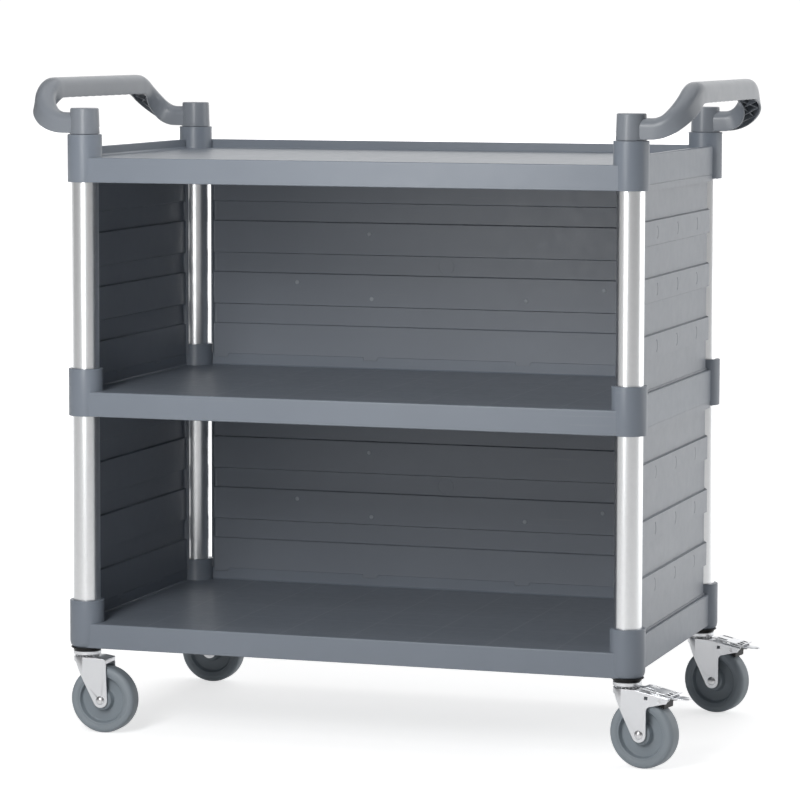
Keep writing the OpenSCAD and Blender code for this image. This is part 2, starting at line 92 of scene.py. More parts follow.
def blend(tree, factor, a, b, mode="MIX"):
    """The colour output of a Mix node."""
    node = add(tree, "ShaderNodeMix", {"data_type": "RGBA", "blend_type": mode})
    for socket, value in ((node.inputs[0], factor), (node.inputs[6], a), (node.inputs[7], b)):
        if isinstance(value, bpy.types.NodeSocket):
            tree.links.new(value, socket)
        else:
            socket.default_value = value
    return node.outputs[2]


def ramp(tree, value, low, high, start=0.0, end=1.0):
    """A value moved smoothly from one range to another."""
    node = add(tree, "ShaderNodeMapRange", {"interpolation_type": "SMOOTHSTEP"}, Value=value)
    for label, number in (("From Min", low), ("From Max", high), ("To Min", start), ("To Max", end)):
        node.inputs[label].default_value = number
    return node.outputs[0]


def noise(tree, vector, scale, detail=2.0, roughness=0.5):
    """The value of a Noise texture."""
    node = add(tree, "ShaderNodeTexNoise", None, Vector=vector, Scale=scale, Detail=detail,
               Roughness=roughness)
    return node.outputs["Fac"]


def stretched(tree, vector, factors):
    """Coordinates scaled by a different factor along each axis."""
    node = add(tree, "ShaderNodeMapping", None, Vector=vector, Scale=factors)
    return node.outputs[0]


def make_moulding_group():
    """Spark-eroded mould texture, uneven cooling and light handling scuffs."""
    tree, given, out = new_group(
        "moulded_surface",
        [("Vector", "NodeSocketVector", (0, 0, 0)), ("Color", "NodeSocketColor", (0.2, 0.2, 0.2, 1)),
         ("Scuff Color", "NodeSocketColor", (0.5, 0.5, 0.5, 1)), ("Roughness", "NodeSocketFloat", 0.4),
         ("Grain", "NodeSocketFloat", 900.0), ("Scuffs", "NodeSocketFloat", 0.5)],
        [("Color", "NodeSocketColor"), ("Roughness", "NodeSocketFloat"),
         ("Height", "NodeSocketFloat")])
    where = given.outputs["Vector"]
    broad = noise(tree, where, 7.0, 3.0)
    fine = noise(tree, where, given.outputs["Grain"], 2.0)
    cloudy = noise(tree, where, 60.0, 4.0, 0.6)
    scratch_field = noise(tree, stretched(tree, where, (3.0, 90.0, 240.0)), 1.0, 3.0)
    patches = ramp(tree, noise(tree, where, 11.0, 2.0), 0.52, 0.7)
    scratches = maths(tree, "MULTIPLY", ramp(tree, scratch_field, 0.63, 0.68), patches)
    scuffs = maths(tree, "MULTIPLY", scratches, given.outputs["Scuffs"], True)
    shade = blend(tree, 0.10, given.outputs["Color"],
                  add(tree, "ShaderNodeCombineColor", None, Red=broad, Green=broad, Blue=broad).outputs[0],
                  "SOFT_LIGHT")
    shade = blend(tree, maths(tree, "MULTIPLY", scuffs, 0.35), shade, given.outputs["Scuff Color"])
    tree.links.new(shade, out.inputs["Color"])
    rough = maths(tree, "ADD", given.outputs["Roughness"],
                  maths(tree, "MULTIPLY", maths(tree, "SUBTRACT", cloudy, 0.5), 0.16))
    rough = maths(tree, "ADD", rough, maths(tree, "MULTIPLY", scuffs, 0.14), True)
    tree.links.new(rough, out.inputs["Roughness"])
    height = maths(tree, "ADD", fine, maths(tree, "MULTIPLY", broad, 2.0))
    tree.links.new(maths(tree, "SUBTRACT", height, scuffs), out.inputs["Height"])
    return tree


def make_metal_group():
    """Drawn or plated metal: fine lines along one axis, cloudy plating and a few marks."""
    tree, given, out = new_group(
        "worked_metal",
        [("Vector", "NodeSocketVector", (0, 0, 0)), ("Lines", "NodeSocketVector", (1, 1, 1)),
         ("Color", "NodeSocketColor", (0.8, 0.8, 0.8, 1)),
         ("Dull Color", "NodeSocketColor", (0.5, 0.5, 0.5, 1)), ("Roughness", "NodeSocketFloat", 0.25),
         ("Line Depth", "NodeSocketFloat", 0.5), ("Cloud", "NodeSocketFloat", 0.3)],
        [("Color", "NodeSocketColor"), ("Roughness", "NodeSocketFloat"),
         ("Height", "NodeSocketFloat")])
    where = given.outputs["Vector"]
    along = add(tree, "ShaderNodeVectorMath", {"operation": "MULTIPLY"}, _0=where,
                _1=given.outputs["Lines"]).outputs[0]
    lines = noise(tree, along, 1.0, 4.0, 0.65)
    cloud = noise(tree, where, 130.0, 4.0, 0.6)
    marks = ramp(tree, noise(tree, where, 900.0, 1.0), 0.72, 0.78)
    dull = maths(tree, "MULTIPLY", ramp(tree, cloud, 0.35, 0.75), given.outputs["Cloud"], True)
    dull = maths(tree, "ADD", dull, maths(tree, "MULTIPLY", marks, 0.08), True)
    shade = blend(tree, dull, given.outputs["Color"], given.outputs["Dull Color"])
    tree.links.new(shade, out.inputs["Color"])
    depth = maths(tree, "MULTIPLY", maths(tree, "SUBTRACT", lines, 0.5), given.outputs["Line Depth"])
    rough = maths(tree, "ADD", given.outputs["Roughness"], maths(tree, "MULTIPLY", depth, 0.3))
    rough = maths(tree, "ADD", rough, maths(tree, "MULTIPLY", dull, 0.18), True)
    tree.links.new(rough, out.inputs["Roughness"])
    tree.links.new(depth, out.inputs["Height"])
    return tree


def make_tread_group():
    """Rubber: a fine matt speckle and pale dust in patches."""
    tree, given, out = new_group(
        "rubber_surface",
        [("Vector", "NodeSocketVector", (0, 0, 0)), ("Color", "NodeSocketColor", (0.1, 0.1, 0.1, 1)),
         ("Dust Color", "NodeSocketColor", (0.4, 0.4, 0.38, 1)), ("Roughness", "NodeSocketFloat", 0.6)],
        [("Color", "NodeSocketColor"), ("Roughness", "NodeSocketFloat"),
         ("Height", "NodeSocketFloat")])
    where = given.outputs["Vector"]
    speckle = noise(tree, where, 1400.0, 2.0)
    patches = ramp(tree, noise(tree, where, 45.0, 5.0, 0.65), 0.5, 0.8)
    dust = maths(tree, "MULTIPLY", patches, 0.22)
    tree.links.new(blend(tree, dust, given.outputs["Color"], given.outputs["Dust Color"]),
                   out.inputs["Color"])
    tree.links.new(maths(tree, "ADD", given.outputs["Roughness"], maths(tree, "MULTIPLY", dust, 0.6),
                         True), out.inputs["Roughness"])
    tree.links.new(maths(tree, "ADD", speckle, patches), out.inputs["Height"])
    return tree


MOULDED = make_moulding_group()
METAL = make_metal_group()
RUBBER = make_tread_group()


def new_material(name, group, values, bump_mm, strength=0.4, **shader):
    """A Principled material fed by one of the surface groups; shader sets constant sockets."""
    material = bpy.data.materials.new(name)
    material.use_nodes = True
    tree = material.node_tree
    principled = tree.nodes["Principled BSDF"]
    for key, value in shader.items():
        principled.inputs[key.replace("_", " ")].default_value = value
    where = add(tree, "ShaderNodeTexCoord").outputs["Object"]
    surface = tree.nodes.new("ShaderNodeGroup")
    surface.node_tree = group
    tree.links.new(where, surface.inputs["Vector"])
    for label, value in values.items():
        surface.inputs[label].default_value = value
    tree.links.new(surface.outputs["Color"], principled.inputs["Base Color"])
    tree.links.new(surface.outputs["Roughness"], principled.inputs["Roughness"])
    bump = add(tree, "ShaderNodeBump", None, Strength=strength, Distance=bump_mm * MM,
               Height=surface.outputs["Height"])
    tree.links.new(bump.outputs["Normal"], principled.inputs["Normal"])
    return material


def grey(red, green, blue):
    """A colour with full alpha, near grey throughout this scene."""
    return (red, green, blue, 1.0)


shelf_plastic = new_material(
    "shelf_plastic", MOULDED,
    {"Color": grey(0.225, 0.255, 0.30), "Scuff Color": grey(0.34, 0.36, 0.39), "Roughness": 0.38,
     "Grain": 1100.0, "Scuffs": 0.5}, 0.02, 0.3)
panel_plastic = new_material(
    "panel_plastic", MOULDED,
    {"Color": grey(0.24, 0.265, 0.305), "Scuff Color": grey(0.36, 0.37, 0.40), "Roughness": 0.38,
     "Grain": 950.0, "Scuffs": 0.6}, 0.025, 0.3)
handle_plastic = new_material(
    "handle_plastic", MOULDED,
    {"Color": grey(0.255, 0.277, 0.31), "Scuff Color": grey(0.38, 0.39, 0.41), "Roughness": 0.32,
     "Grain": 1400.0, "Scuffs": 0.6}, 0.02, 0.35)
panel_gate_mark = new_material(
    "panel_gate_mark", MOULDED,
    {"Color": grey(0.42, 0.45, 0.49), "Scuff Color": grey(0.5, 0.52, 0.55), "Roughness": 0.4,
     "Grain": 900.0, "Scuffs": 0.3}, 0.015, 0.25)
black_plastic = new_material(
    "black_plastic", MOULDED,
    {"Color": grey(0.008, 0.008, 0.009), "Scuff Color": grey(0.03, 0.03, 0.03), "Roughness": 0.34,
     "Grain": 1600.0, "Scuffs": 0.3}, 0.015, 0.3, Specular_IOR_Level=0.25)
wheel_plastic = new_material(
    "wheel_plastic", MOULDED,
    {"Color": grey(0.275, 0.315, 0.35), "Scuff Color": grey(0.36, 0.37, 0.38), "Roughness": 0.42,
     "Grain": 1300.0, "Scuffs": 0.8}, 0.02, 0.3)
tread_rubber = new_material(
    "tread_rubber", RUBBER,
    {"Color": grey(0.295, 0.335, 0.37), "Dust Color": grey(0.33, 0.34, 0.35), "Roughness": 0.5},
    0.03, 0.35)
satin_aluminium = new_material(
    "satin_aluminium", METAL,
    {"Lines": (2600.0, 2600.0, 1.5), "Color": grey(0.86, 0.87, 0.88),
     "Dull Color": grey(0.70, 0.71, 0.73), "Roughness": 0.30, "Line Depth": 0.5, "Cloud": 0.15},
    0.01, 0.25, Metallic=1.0)
zinc_plate = new_material(
    "zinc_plate", METAL,
    {"Lines": (30.0, 30.0, 30.0), "Color": grey(0.78, 0.79, 0.81),
     "Dull Color": grey(0.70, 0.71, 0.73), "Roughness": 0.32, "Line Depth": 0.03, "Cloud": 0.08},
    0.004, 0.15, Metallic=1.0)
bright_steel = new_material(
    "bright_steel", METAL,
    {"Lines": (900.0, 900.0, 900.0), "Color": grey(0.74, 0.74, 0.75),
     "Dull Color": grey(0.6, 0.6, 0.61), "Roughness": 0.36, "Line Depth": 0.1, "Cloud": 0.15},
    0.01, 0.2, Metallic=1.0)

# Spacing of the ribs under the decks, in metres
RIB_PITCH = 0.1045


def add_rib_witness(material):
    """Faint pale lines on the decks, where the ribs below have drawn the surface in."""
    tree = material.node_tree
    principled = tree.nodes["Principled BSDF"]
    shade = principled.inputs["Base Color"].links[0].from_socket
    where = add(tree, "ShaderNodeSeparateXYZ", None,
                Vector=add(tree, "ShaderNodeTexCoord").outputs["Object"]).outputs
    facing = add(tree, "ShaderNodeSeparateXYZ", None,
                 Vector=add(tree, "ShaderNodeNewGeometry").outputs["Normal"]).outputs["Z"]
    nearest = []
    for axis in ("X", "Y"):
        folded = maths(tree, "PINGPONG", where[axis], RIB_PITCH / 2)
        centred = maths(tree, "PINGPONG", maths(tree, "ADD", where[axis], RIB_PITCH), RIB_PITCH / 2)
        nearest.append(maths(tree, "MINIMUM", folded, centred))
    line = ramp(tree, maths(tree, "MINIMUM", *nearest), 0.0006, 0.0022, 0.30, 0.0)
    mask = maths(tree, "MULTIPLY", line, ramp(tree, facing, 0.90, 0.98))
    tree.links.new(blend(tree, mask, shade, grey(0.42, 0.45, 0.48)), principled.inputs["Base Color"])


add_rib_witness(shelf_plastic)

FINISH = {
    "shelf": shelf_plastic, "panel": panel_plastic, "handle": handle_plastic,
    "post": satin_aluminium, "castor_plugs": black_plastic, "castor_stems": zinc_plate,
    "fork": zinc_plate, "swivel_balls": bright_steel, "axle": bright_steel,
    "wheel_hub": wheel_plastic, "tyre": tread_rubber, "brake_pedal": zinc_plate,
    "brake_cam": black_plastic, "pedal_pin": bright_steel,
}


def finish_of(name):
    """The material whose word appears in a node's name."""
    return next(material for word, material in FINISH.items() if word in name)


def paint(obj, material):
    """Gives an object one material in place of what it had."""
    obj.data.materials.clear()
    obj.data.materials.append(material)


for node_name, node in nodes.items():
    paint(node, finish_of(node_name))


# Shapes -----------------------------------------------------------------------------


def outline(mesh, points, roundings=()):
    """A face in the XZ plane through points in millimetres; roundings are (index, radius)."""
    corners = [mesh.verts.new((x * MM, 0.0, z * MM)) for x, z in points]
    mesh.faces.new(corners)
    for index, radius in roundings:
        bmesh.ops.bevel(mesh, geom=[corners[index]], offset=radius * MM, offset_type="OFFSET",
                        segments=6, profile=0.5, affect="VERTICES", material=-1)
    return max(mesh.faces, key=lambda f: len(f.verts))


def finish_piece(name, mesh, body, slot, material, *replaced, smooth_angle=38.0):
    """Closes a mesh, points its faces outwards and makes the object that rides on a body."""
    bmesh.ops.remove_doubles(mesh, verts=mesh.verts, dist=MERGE)
    bmesh.ops.recalc_face_normals(mesh, faces=mesh.faces)
    data = bpy.data.meshes.new(name)
    mesh.to_mesh(data)
    mesh.free()
    data.shade_smooth()
    data.set_sharp_from_angle(angle=math.radians(smooth_angle))
    piece = bpy.data.objects.new(name, data)
    bpy.context.scene.collection.objects.link(piece)
    paint(piece, material)
    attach(piece, body)
    if replaced:
        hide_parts(*replaced)
    return piece


def turned(mesh, points, roundings, place, steps=96):
    """A solid of revolution from its section (radius, height), set where place puts its axis."""
    part = bmesh.new()
    face = outline(part, points, roundings)
    bmesh.ops.delete(part, geom=[face], context="FACES_ONLY")
    bmesh.ops.spin(part, geom=part.verts[:] + part.edges[:], cent=(0, 0, 0), axis=(0, 0, 1),
                   dvec=(0, 0, 0), angle=2 * math.pi, steps=steps, use_merge=True)
    bmesh.ops.remove_doubles(part, verts=part.verts, dist=MERGE)
    join(mesh, part, place)


def join(mesh, part, place):
    """Adds a part to a mesh at its place."""
    bmesh.ops.transform(part, matrix=place, verts=part.verts)
    data = bpy.data.meshes.new("part")
    part.to_mesh(data)
    part.free()
    mesh.from_mesh(data)
    bpy.data.meshes.remove(data)


def middle(node_name):
    """The centre of a node's box."""
    low_corner, high_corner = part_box(node_name)
    return (Vector(low_corner) + Vector(high_corner)) / 2


# Handles ----------------------------------------------------------------------------

# The grip's inverted U, in millimetres, with its outer and inner corner radii
GRIP_W = 31.0
GRIP_H = 30.0
GRIP_WALL = 3.0
GRIP_ROUND = 13
HOLLOW_ROUND = 10

# Height of the grip's middle over the collars, and how far its corners take up each end
GRIP_UP = 67
GRIP_END = 75

# Section (radius, height) of the round cap that plugs into a collar
HANDLE_CAP = ((0, -30), (17.5, -30), (19.9, -27), (19.9, 0.7), (22.3, 0.7), (21.9, 8), (20.9, 38.5),
              (0, 38.5))

# Distance between the crossings of the webs, and how thick a web is
WEB_PITCH = 19
WEB_WALL = 1.1

# One half of a handle from its post to the middle of the grip, in millimetres and degrees:
# out from the post, back from it, up from the collars, heading and climb
HANDLE_STATIONS = (
    (3, 0, 17, 0, 0), (26, 0, 17, 0, 0), (38, 0, 17.8, 4, 8), (50, 1, 22.3, 14, 28),
    (60, 5, 30.5, 28, 42), (68.5, 14, 41.5, 45, 45), (73.5, 27, 52.3, 62, 38), (75, 42, 61, 76, 24),
    (75.6, 57, 66, 86, 8), (76, 70, GRIP_UP, 90, 0), (76, 90, GRIP_UP, 90, 0),
    (76, 140, GRIP_UP, 90, 0), (76, 227, GRIP_UP, 90, 0),
)

# Fewest steps between two stations, and the length of a step where stations are far apart
FEWEST_STEPS = 5
LONG_STEP = 4


def eased(stations):
    """Stations joined by a Catmull-Rom curve, in short steps."""
    path = []
    for i in range(len(stations) - 1):
        before, a = stations[max(i - 1, 0)], stations[i]
        b, after = stations[i + 1], stations[min(i + 2, len(stations) - 1)]
        count = max(FEWEST_STEPS, round((b[1] - a[1]) / LONG_STEP))
        for k in range(count):
            t = k / count
            path.append(tuple(
                0.5 * (2 * q + (r - p) * t + (2 * p - 5 * q + 4 * r - s) * t * t
                       + (3 * q - p - 3 * r + s) * t ** 3)
                for p, q, r, s in zip(before, a, b, after)))
    path.append(stations[-1])
    return path


def station_matrix(out, back, up, heading, climb):
    """The place and slope of the handle's section at a station."""
    turn_to = Matrix.Rotation(math.radians(heading), 4, "Z")
    lift = Matrix.Rotation(-math.radians(climb), 4, "Y")
    return Matrix.Translation((out * MM, back * MM, up * MM)) @ turn_to @ lift


def handle_path(span):
    """Matrices along the whole handle, from one post to the other, span apart."""
    half = eased(HANDLE_STATIONS)
    half = [s[:1] + (min(s[1], span / 2),) + s[2:] for s in half]
    far = [(out, span - back, up, 180 - heading, -climb)
           for out, back, up, heading, climb in reversed(half[:-1])]
    return [station_matrix(*s) for s in half + far]


def sweep_handle(path):
    """The inverted U of the grip, extruded ring by ring along the path."""
    mesh = bmesh.new()
    w, h, t = GRIP_W / 2, GRIP_H / 2, GRIP_WALL
    points = [(-w, -h), (-w, h), (w, h), (w, -h), (w - t, -h), (w - t, h - t), (t - w, h - t),
              (t - w, -h)]
    face = outline(mesh, points, [(1, GRIP_ROUND), (2, GRIP_ROUND), (5, HOLLOW_ROUND),
                                  (6, HOLLOW_ROUND), (0, 1), (3, 1)])
    bmesh.ops.rotate(mesh, verts=mesh.verts, cent=(0, 0, 0),
                     matrix=Matrix.Rotation(math.pi / 2, 3, "Z"))
    bmesh.ops.transform(mesh, matrix=path[0], verts=mesh.verts)
    ring = face.edges[:]
    for here, there in zip(path, path[1:]):
        moved = bmesh.ops.extrude_edge_only(mesh, edges=ring)["geom"]
        verts = [v for v in moved if isinstance(v, bmesh.types.BMVert)]
        ring = [e for e in moved if isinstance(e, bmesh.types.BMEdge)
                and e.verts[0] in verts and e.verts[1] in verts]
        bmesh.ops.transform(mesh, matrix=there @ here.inverted(), verts=verts)
    bmesh.ops.contextual_create(mesh, geom=ring)
    return mesh


def add_finger_rests(mesh, span, depth=0.5, pitch=26.0, run_out=15):
    """Shallow scallops along the grip's lower edges, fading out towards both ends."""
    edge_top = GRIP_UP - GRIP_H / 2 + 1.2
    for vert in mesh.verts:
        along = vert.co.y / MM
        if GRIP_END < along < span - GRIP_END and vert.co.z / MM < edge_top:
            fade = min(1.0, (along - GRIP_END) / run_out, (span - GRIP_END - along) / run_out)
            vert.co.z += depth * MM * fade * (1 - math.cos(2 * math.pi * along / pitch)) / 2


def add_grip_ribs(mesh, path):
    """Crossed webs that stiffen the hollow underside, one crossing between each pair of stops."""
    skipped = 9
    stops = path[skipped:-skipped]
    kept = [stops[0]]
    for place in stops:
        if (place.translation - kept[-1].translation).length > WEB_PITCH * MM:
            kept.append(place)
    inner, top, foot = GRIP_W / 2 - GRIP_WALL + 0.4, GRIP_H / 2 - GRIP_WALL + 0.2, -GRIP_H / 2 + 4
    shoulder = 7.5
    section = ((0, foot), (0, 2), (0.12, shoulder), (0.3, top), (0.7, top), (0.88, shoulder), (1, 2),
               (1, foot))
    for here, there in zip(kept, kept[1:]):
        for side in (-1, 1):
            part = bmesh.new()
            corners = []
            for share, height in section:
                across = side * inner * (1 - 2 * share) * MM
                corners.append((here @ Vector((0, across, height * MM))).lerp(
                    there @ Vector((0, across, height * MM)), share))
            web = part.faces.new([part.verts.new(c) for c in corners])
            web.normal_update()
            push = web.normal * WEB_WALL * MM
            grown = bmesh.ops.extrude_face_region(part, geom=[web])["geom"]
            bmesh.ops.translate(part, vec=push,
                                verts=[v for v in grown if isinstance(v, bmesh.types.BMVert)])
            bmesh.ops.recalc_face_normals(part, faces=part.faces)
            join(mesh, part, Matrix.Identity(4))


def make_handle(side):
    """A push handle: hollow ribbed grip on two arms that spring from caps on the posts."""
    sign = -1 if side == "left" else 1
    corner = "fl" if side == "left" else "fr"
    front_post = middle("upper_post_" + corner)
    span = (middle("upper_post_r" + corner[1]).y - front_post.y) / MM
    collar_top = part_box("top_shelf")[1][2]
    path = handle_path(span)
    mesh = sweep_handle(path)
    add_finger_rests(mesh, span)
    add_grip_ribs(mesh, path)
    for back in (0.0, span):
        turned(mesh, HANDLE_CAP, [(3, 0.3), (4, 0.5), (6, 2.0)],
               Matrix.Translation((0, back * MM, 0)))
    place = Matrix.Translation((front_post.x, front_post.y, collar_top)) @ Matrix.Diagonal(
        (sign, 1, 1, 1))
    bmesh.ops.transform(mesh, matrix=place, verts=mesh.verts)
    finish_piece(side + "_push_handle", mesh, "trolley_frame", "handle_plastic", handle_plastic,
                 side + "_handle")


for handle_side in ("left", "right"):
    make_handle(handle_side)


# Wheels and bolts -------------------------------------------------------------------

joints = {joint["name"]: joint for joint in frame["joints"]}

# Half sections (radius, distance from the middle plane) of the core and tread, with roundings
CORE_HALF = ((6.1, 15.8), (13.0, 15.8), (15.3, 14.2), (16.8, 5.2), (33.2, 5.2), (34.8, 13.2),
             (37.9, 13.8))
CORE_ROUNDINGS = ((1, 0.8), (2, 0.9), (3, 1.6), (4, 1.6), (5, 0.9))
TREAD_ROUNDINGS = ((1, 1.0), (2, 2.6), (3, 2.6))
TREAD_DEPTH = 12.0
BOND = 0.05

# The axle bolt's thread: where it starts, its radii, pitch and number of turns
THREAD_START = -21.0
THREAD_R = 4.0
THREAD_ROOT = 3.4
THREAD_PITCH = 1.25
THREAD_TURNS = 6


def axle_place(corner):
    """Where a wheel's axis lies: Z along the axle, from the far face towards the bolt's head."""
    tyre = middle("tyre_" + corner)
    axis = Vector(joints["roll_" + corner]["axis"])
    return Matrix.Translation(tyre) @ (-axis).to_track_quat("Z", "Y").to_matrix().to_4x4()


def mirrored_ring(half, roundings, place):
    """A ring turned from half a section and its mirror image, as a new mesh."""
    section = list(half) + [(r, -h) for r, h in reversed(half)]
    count = len(section)
    rounded = list(roundings) + [(count - 1 - index, size) for index, size in roundings]
    mesh = bmesh.new()
    turned(mesh, section, rounded, place, 128)
    return mesh


def make_wheel(corner):
    """A moulded core with a dished web, and the rubber tread bonded round it."""
    place = axle_place(corner)
    low_corner, high_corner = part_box("tyre_" + corner)
    radius = (high_corner[2] - low_corner[2]) / MM / 2
    core = mirrored_ring(CORE_HALF, CORE_ROUNDINGS, place)
    finish_piece("wheel_core_" + corner, core, "wheel_" + corner, "wheel_core", wheel_plastic,
                 "wheel_hub_" + corner)
    tread_half = ((radius - TREAD_DEPTH + BOND, 14.0), (41.0, 14.8), (46.3, 14.4), (49.8, 10.4),
                  (radius, 4.0))
    tread = mirrored_ring(tread_half, TREAD_ROUNDINGS, place)
    finish_piece("tread_" + corner, tread, "wheel_" + corner, "tread", tread_rubber,
                 "tyre_" + corner)


def make_axle_bolt(corner):
    """A domed axle bolt with a threaded end."""
    mesh = bmesh.new()
    thread = []
    for k in range(THREAD_TURNS):
        crest = THREAD_START - THREAD_PITCH * k
        thread += [(THREAD_R, crest), (THREAD_ROOT, crest - 0.6)]
    dome = [(0, 24.2), (3.4, 23.7), (5.7, 22.0), (6.6, 20.15), (THREAD_R, 20.15)]
    section = dome + thread + [(3.2, -28.4), (0, -28.4)]
    turned(mesh, section, [(1, 1.6), (2, 1.4), (3, 0.4)], axle_place(corner), 48)
    finish_piece("axle_bolt_domed_" + corner, mesh, "castor_" + corner, "bolt_steel", bright_steel,
                 "axle_bolt_" + corner)


for corner_name in CORNERS:
    make_wheel(corner_name)
    make_axle_bolt(corner_name)


# Brakes -----------------------------------------------------------------------------


def castor_place(corner):
    """A castor's own frame: the swivel axis on Z at the floor, the wheel trailing towards +X."""
    swivel = Vector(joints["swivel_" + corner]["pos_m"])
    axis = Vector(joints["roll_" + corner]["axis"])
    heading = math.atan2(-axis.x, axis.y)
    return Matrix.Translation((swivel.x, swivel.y, 0)) @ Matrix.Rotation(heading, 4, "Z")


# Side views (x, z) of the pressed plate and its pale tab in the castor's frame, where the plate is
# split across, and the outline of a cheek
PEDAL_LINE = ((27, 115.3), (33, 115.3), (49, 112.4), (66, 109.4), (74, 107.6), (77, 108.0),
              (79.4, 110.0))
PEDAL_ROWS = (-16.4, -13.6, -6.2, -3.4, 3.4, 6.2, 13.6, 16.4)
TAB_LINE = ((62, 103.6), (72, 103.6), (84, 104.4), (92, 103.8), (98.6, 102.9))
TAB_ROWS = (-11, -7.5, -2.2, 2.2, 7.5, 11)
CHEEK = ((44, 112.2), (75, 106.4), (74, 102), (67, 98), (62, 96), (56, 96))
CHEEK_OUT = 15.7
PEDAL_WALL = 1.6
TAB_WALL = 1.5

# Where the tab starts to round off, and the length over which it would close
TAB_TURN = 86
TAB_CLOSE = 13


def swept_strip(mesh, line, rows):
    """A thin sheet whose side view is a line (x, z), split across into rows; its faces by column."""
    verts = [mesh.verts.new((line[0][0] * MM, row * MM, line[0][1] * MM)) for row in rows]
    edges = [mesh.edges.new(pair) for pair in zip(verts, verts[1:])]
    columns = []
    for (x0, z0), (x1, z1) in zip(line, line[1:]):
        known = set(mesh.faces)
        moved = bmesh.ops.extrude_edge_only(mesh, edges=edges)["geom"]
        verts = [v for v in moved if isinstance(v, bmesh.types.BMVert)]
        edges = [e for e in moved if isinstance(e, bmesh.types.BMEdge)
                 and e.verts[0] in verts and e.verts[1] in verts]
        bmesh.ops.translate(mesh, vec=((x1 - x0) * MM, 0, (z1 - z0) * MM), verts=verts)
        column = [f for f in mesh.faces if f not in known]
        columns.append(sorted(column, key=lambda f: f.calc_center_median().y))
    return columns


def thicken(mesh, thickness, rounding):
    """Turns a sheet into a plate and rounds its edges."""
    bmesh.ops.recalc_face_normals(mesh, faces=mesh.faces)
    bmesh.ops.solidify(mesh, geom=mesh.faces[:], thickness=thickness * MM)
    bmesh.ops.recalc_face_normals(mesh, faces=mesh.faces)
    sharp = [e for e in mesh.edges if e.is_manifold and e.calc_face_angle(0) > math.radians(50)]
    bmesh.ops.bevel(mesh, geom=sharp, offset=rounding * MM, offset_type="OFFSET", segments=2,
                    profile=0.5, affect="EDGES", clamp_overlap=True, material=-1)


def make_pedal(corner):
    """A pressed brake pedal: pierced plate with a folded toe, two cheeks and a rounded tab."""
    mesh = bmesh.new()
    plate = bmesh.new()
    columns = swept_strip(plate, PEDAL_LINE, PEDAL_ROWS)
    pierced = [columns[k][row] for k in (1, 3) for row in (1, 5)] + [columns[3][3]]
    bmesh.ops.delete(plate, geom=pierced, context="FACES")
    thicken(plate, -PEDAL_WALL, 0.35)
    join(mesh, plate, Matrix.Identity(4))
    for side in (-1, 1):
        cheek = bmesh.new()
        face = outline(cheek, CHEEK, [(2, 2.5), (4, 2.0)])
        grown = bmesh.ops.extrude_face_region(cheek, geom=[face])["geom"]
        bmesh.ops.translate(cheek, vec=(0, PEDAL_WALL * MM, 0),
                            verts=[v for v in grown if isinstance(v, bmesh.types.BMVert)])
        join(mesh, cheek, Matrix.Translation((0, (side * CHEEK_OUT - PEDAL_WALL / 2) * MM, 0)))
    tab = bmesh.new()
    swept_strip(tab, TAB_LINE, TAB_ROWS)
    for vert in tab.verts:
        reach = vert.co.x / MM
        if reach > TAB_TURN:
            vert.co.y *= math.sqrt(max(0.12, 1 - ((reach - TAB_TURN) / TAB_CLOSE) ** 2))
        if abs(vert.co.y) < 3 * MM:
            vert.co.z += 0.9 * MM
    thicken(tab, -TAB_WALL, 0.4)
    join(mesh, tab, Matrix.Identity(4))
    bmesh.ops.transform(mesh, matrix=castor_place(corner), verts=mesh.verts)
    finish_piece("brake_pedal_pressed_" + corner, mesh, "brake_" + corner, "pedal_steel",
                 zinc_plate, "brake_pedal_" + corner, smooth_angle=30.0)


for corner_name in CORNERS:
    if "brake_press_" + corner_name in joints:
        make_pedal(corner_name)


# Small marks on the back panels -----------------------------------------------------


# Section (radius, height) of a plug, its places (x, height over the panel's foot) in millimetres,
# and how far behind the posts' centres the panel's front lies
PLUG = ((0, 0.9), (2.6, 0.8), (3.4, 0.1), (3.4, -1.0), (0, -1.0))
PLUG_SPOTS = ((-126, 200), (130, 101), (255, 120), (-246, 122), (-122, 98))
PANEL_BEHIND = 7.5


def make_ejector_marks(bay):
    """Round plugs moulded into the back panel, out of line with each other."""
    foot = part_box(bay + "_back_panel")[0][2]
    face = middle(bay + "_post_rl").y + PANEL_BEHIND * MM
    mesh = bmesh.new()
    for x, z in PLUG_SPOTS:
        place = Matrix.Translation((x * MM, face, foot + z * MM)) @ Matrix.Rotation(
            math.pi / 2, 4, "X")
        turned(mesh, PLUG, [(1, 0.3)], place, 24)
    finish_piece(bay + "_back_plugs", mesh, "trolley_frame", "panel_plastic", panel_gate_mark)


for bay_name in BAYS:
    make_ejector_marks(bay_name)


# Rounded edges ----------------------------------------------------------------------

# Edge radius in millimetres for the nodes whose names hold a word
EDGE_RADII = {"shelf": 0.9, "panel": 0.6, "fork": 0.45, "castor_plugs": 0.4, "axle_nut": 0.4,
              "brake_cam": 0.5}


def soften_edges(node, radius):
    """Rounds a node's sharp edges without touching its mesh."""
    weld = node.modifiers.new("weld", "WELD")
    weld.merge_threshold = 0.02 * MM
    bevel = node.modifiers.new("edge_rounding", "BEVEL")
    bevel.width = radius * MM
    bevel.segments = 2
    bevel.limit_method = "ANGLE"
    bevel.angle_limit = math.radians(40)
    bevel.harden_normals = False


for node_name, node in nodes.items():
    for word, radius in EDGE_RADII.items():
        if word in node_name:
            soften_edges(node, radius)


# Studio -----------------------------------------------------------------------------


